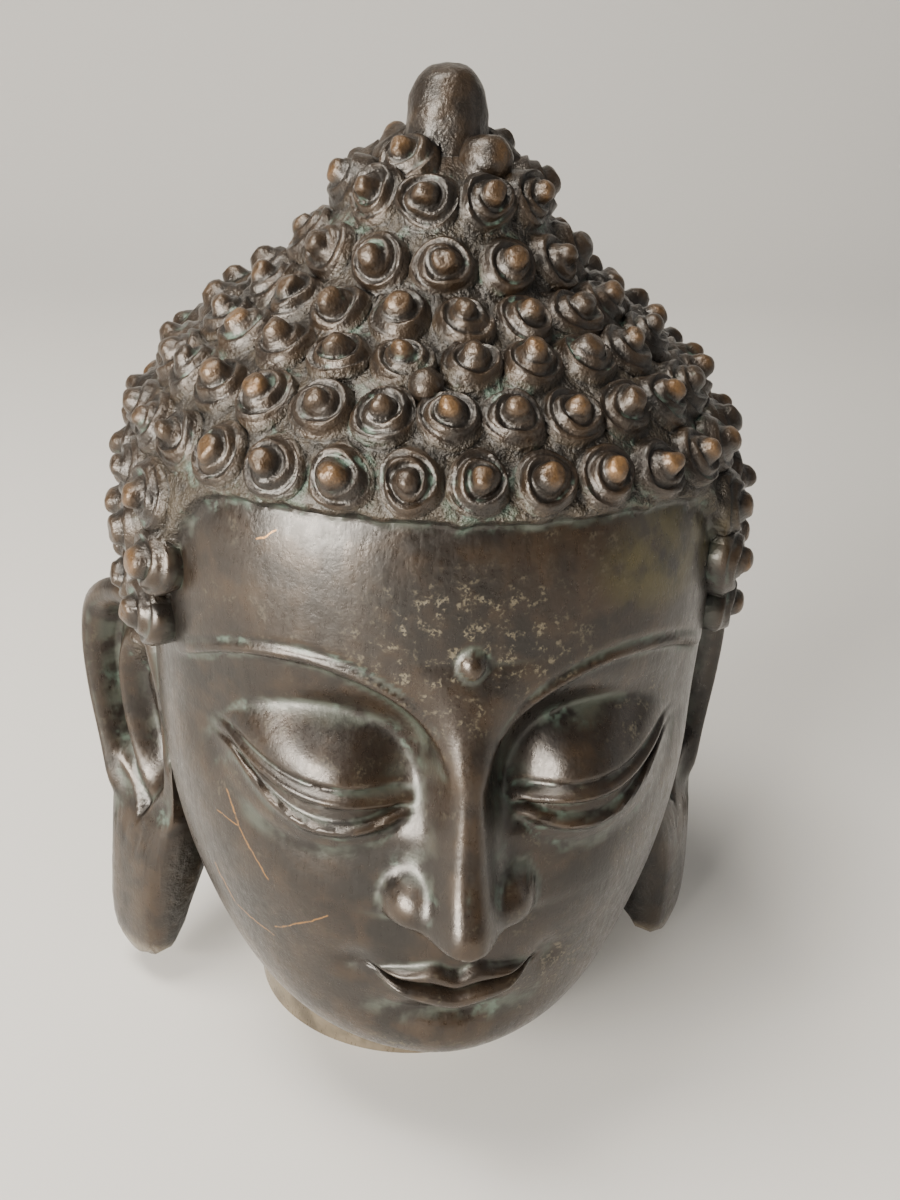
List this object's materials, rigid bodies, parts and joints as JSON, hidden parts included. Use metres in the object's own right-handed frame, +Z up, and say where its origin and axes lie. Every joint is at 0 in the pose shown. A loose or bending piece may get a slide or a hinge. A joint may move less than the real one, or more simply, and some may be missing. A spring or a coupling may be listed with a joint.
{
  "type": "buddha head statuette",
  "caption": "Small cast bronze buddha head with a calm face, long ears, snail-shell curls, crown bump and finial, standing on its neck stub.",
  "frame": {"origin": "centre of the neck stub's flat underside", "axes": "+Z up through the finial, -Y the way the face looks, +X towards the head's own left ear"},
  "size_m": [0.1078, 0.1121, 0.15],
  "materials": {
    "bronze": "satin"
  },
  "bodies": {
    "root": {"buddha_head": "bronze"}
  },
  "joints": []
}
